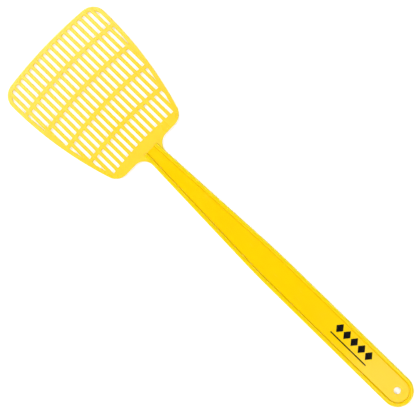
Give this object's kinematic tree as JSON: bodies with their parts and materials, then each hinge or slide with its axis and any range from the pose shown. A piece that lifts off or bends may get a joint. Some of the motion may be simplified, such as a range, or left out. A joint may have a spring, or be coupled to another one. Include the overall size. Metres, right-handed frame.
{
  "type": "fly swatter",
  "caption": "One-piece moulded plastic fly swatter: a thin slotted blade that flexes at its neck, on a flat tapered handle with raised rails and a hang hole.",
  "frame": {"origin": "middle of the hang hole, on the middle plane of the moulding", "axes": "+Y along the handle from the hang hole to the blade, +X across the handle, +Z out of the printed face"},
  "size_m": [0.1072, 0.404, 0.0044],
  "materials": {
    "yellow_plastic": "semi-gloss moulded polypropylene, self-coloured yellow",
    "black_ink": "pad-printed black ink"
  },
  "bodies": {
    "handle": {"handle_web": "yellow_plastic", "grip_bow": "yellow_plastic", "left_grip_rail": "yellow_plastic", "right_grip_rail": "yellow_plastic", "left_neck_rail": "yellow_plastic", "right_neck_rail": "yellow_plastic", "left_gusset": "yellow_plastic", "right_gusset": "yellow_plastic", "printed_mark": "black_ink", "neck_flexure": "yellow_plastic"},
    "blade": {"shoulder": "yellow_plastic", "blade_rim": "yellow_plastic", "cross_rib_1": "yellow_plastic", "cross_rib_2": "yellow_plastic", "cross_rib_3": "yellow_plastic", "cross_rib_4": "yellow_plastic", "slat_01": "yellow_plastic", "slat_02": "yellow_plastic", "slat_03": "yellow_plastic", "slat_04": "yellow_plastic", "slat_05": "yellow_plastic", "slat_06": "yellow_plastic", "slat_07": "yellow_plastic", "slat_08": "yellow_plastic", "slat_09": "yellow_plastic", "slat_10": "yellow_plastic", "slat_11": "yellow_plastic", "slat_12": "yellow_plastic", "slat_13": "yellow_plastic", "slat_14": "yellow_plastic", "slat_15": "yellow_plastic", "slat_16": "yellow_plastic", "slat_17": "yellow_plastic", "slat_18": "yellow_plastic"}
  },
  "joints": [
    {"name": "neck_flex", "type": "hinge", "parent": "handle", "child": "blade", "pos_m": [0, 0.2711, 0], "axis": [1, 0, 0], "range_deg": [-35, 35], "stiffness_Nm_per_rad": 0.4, "deforming": ["neck_flexure"]}
  ]
}
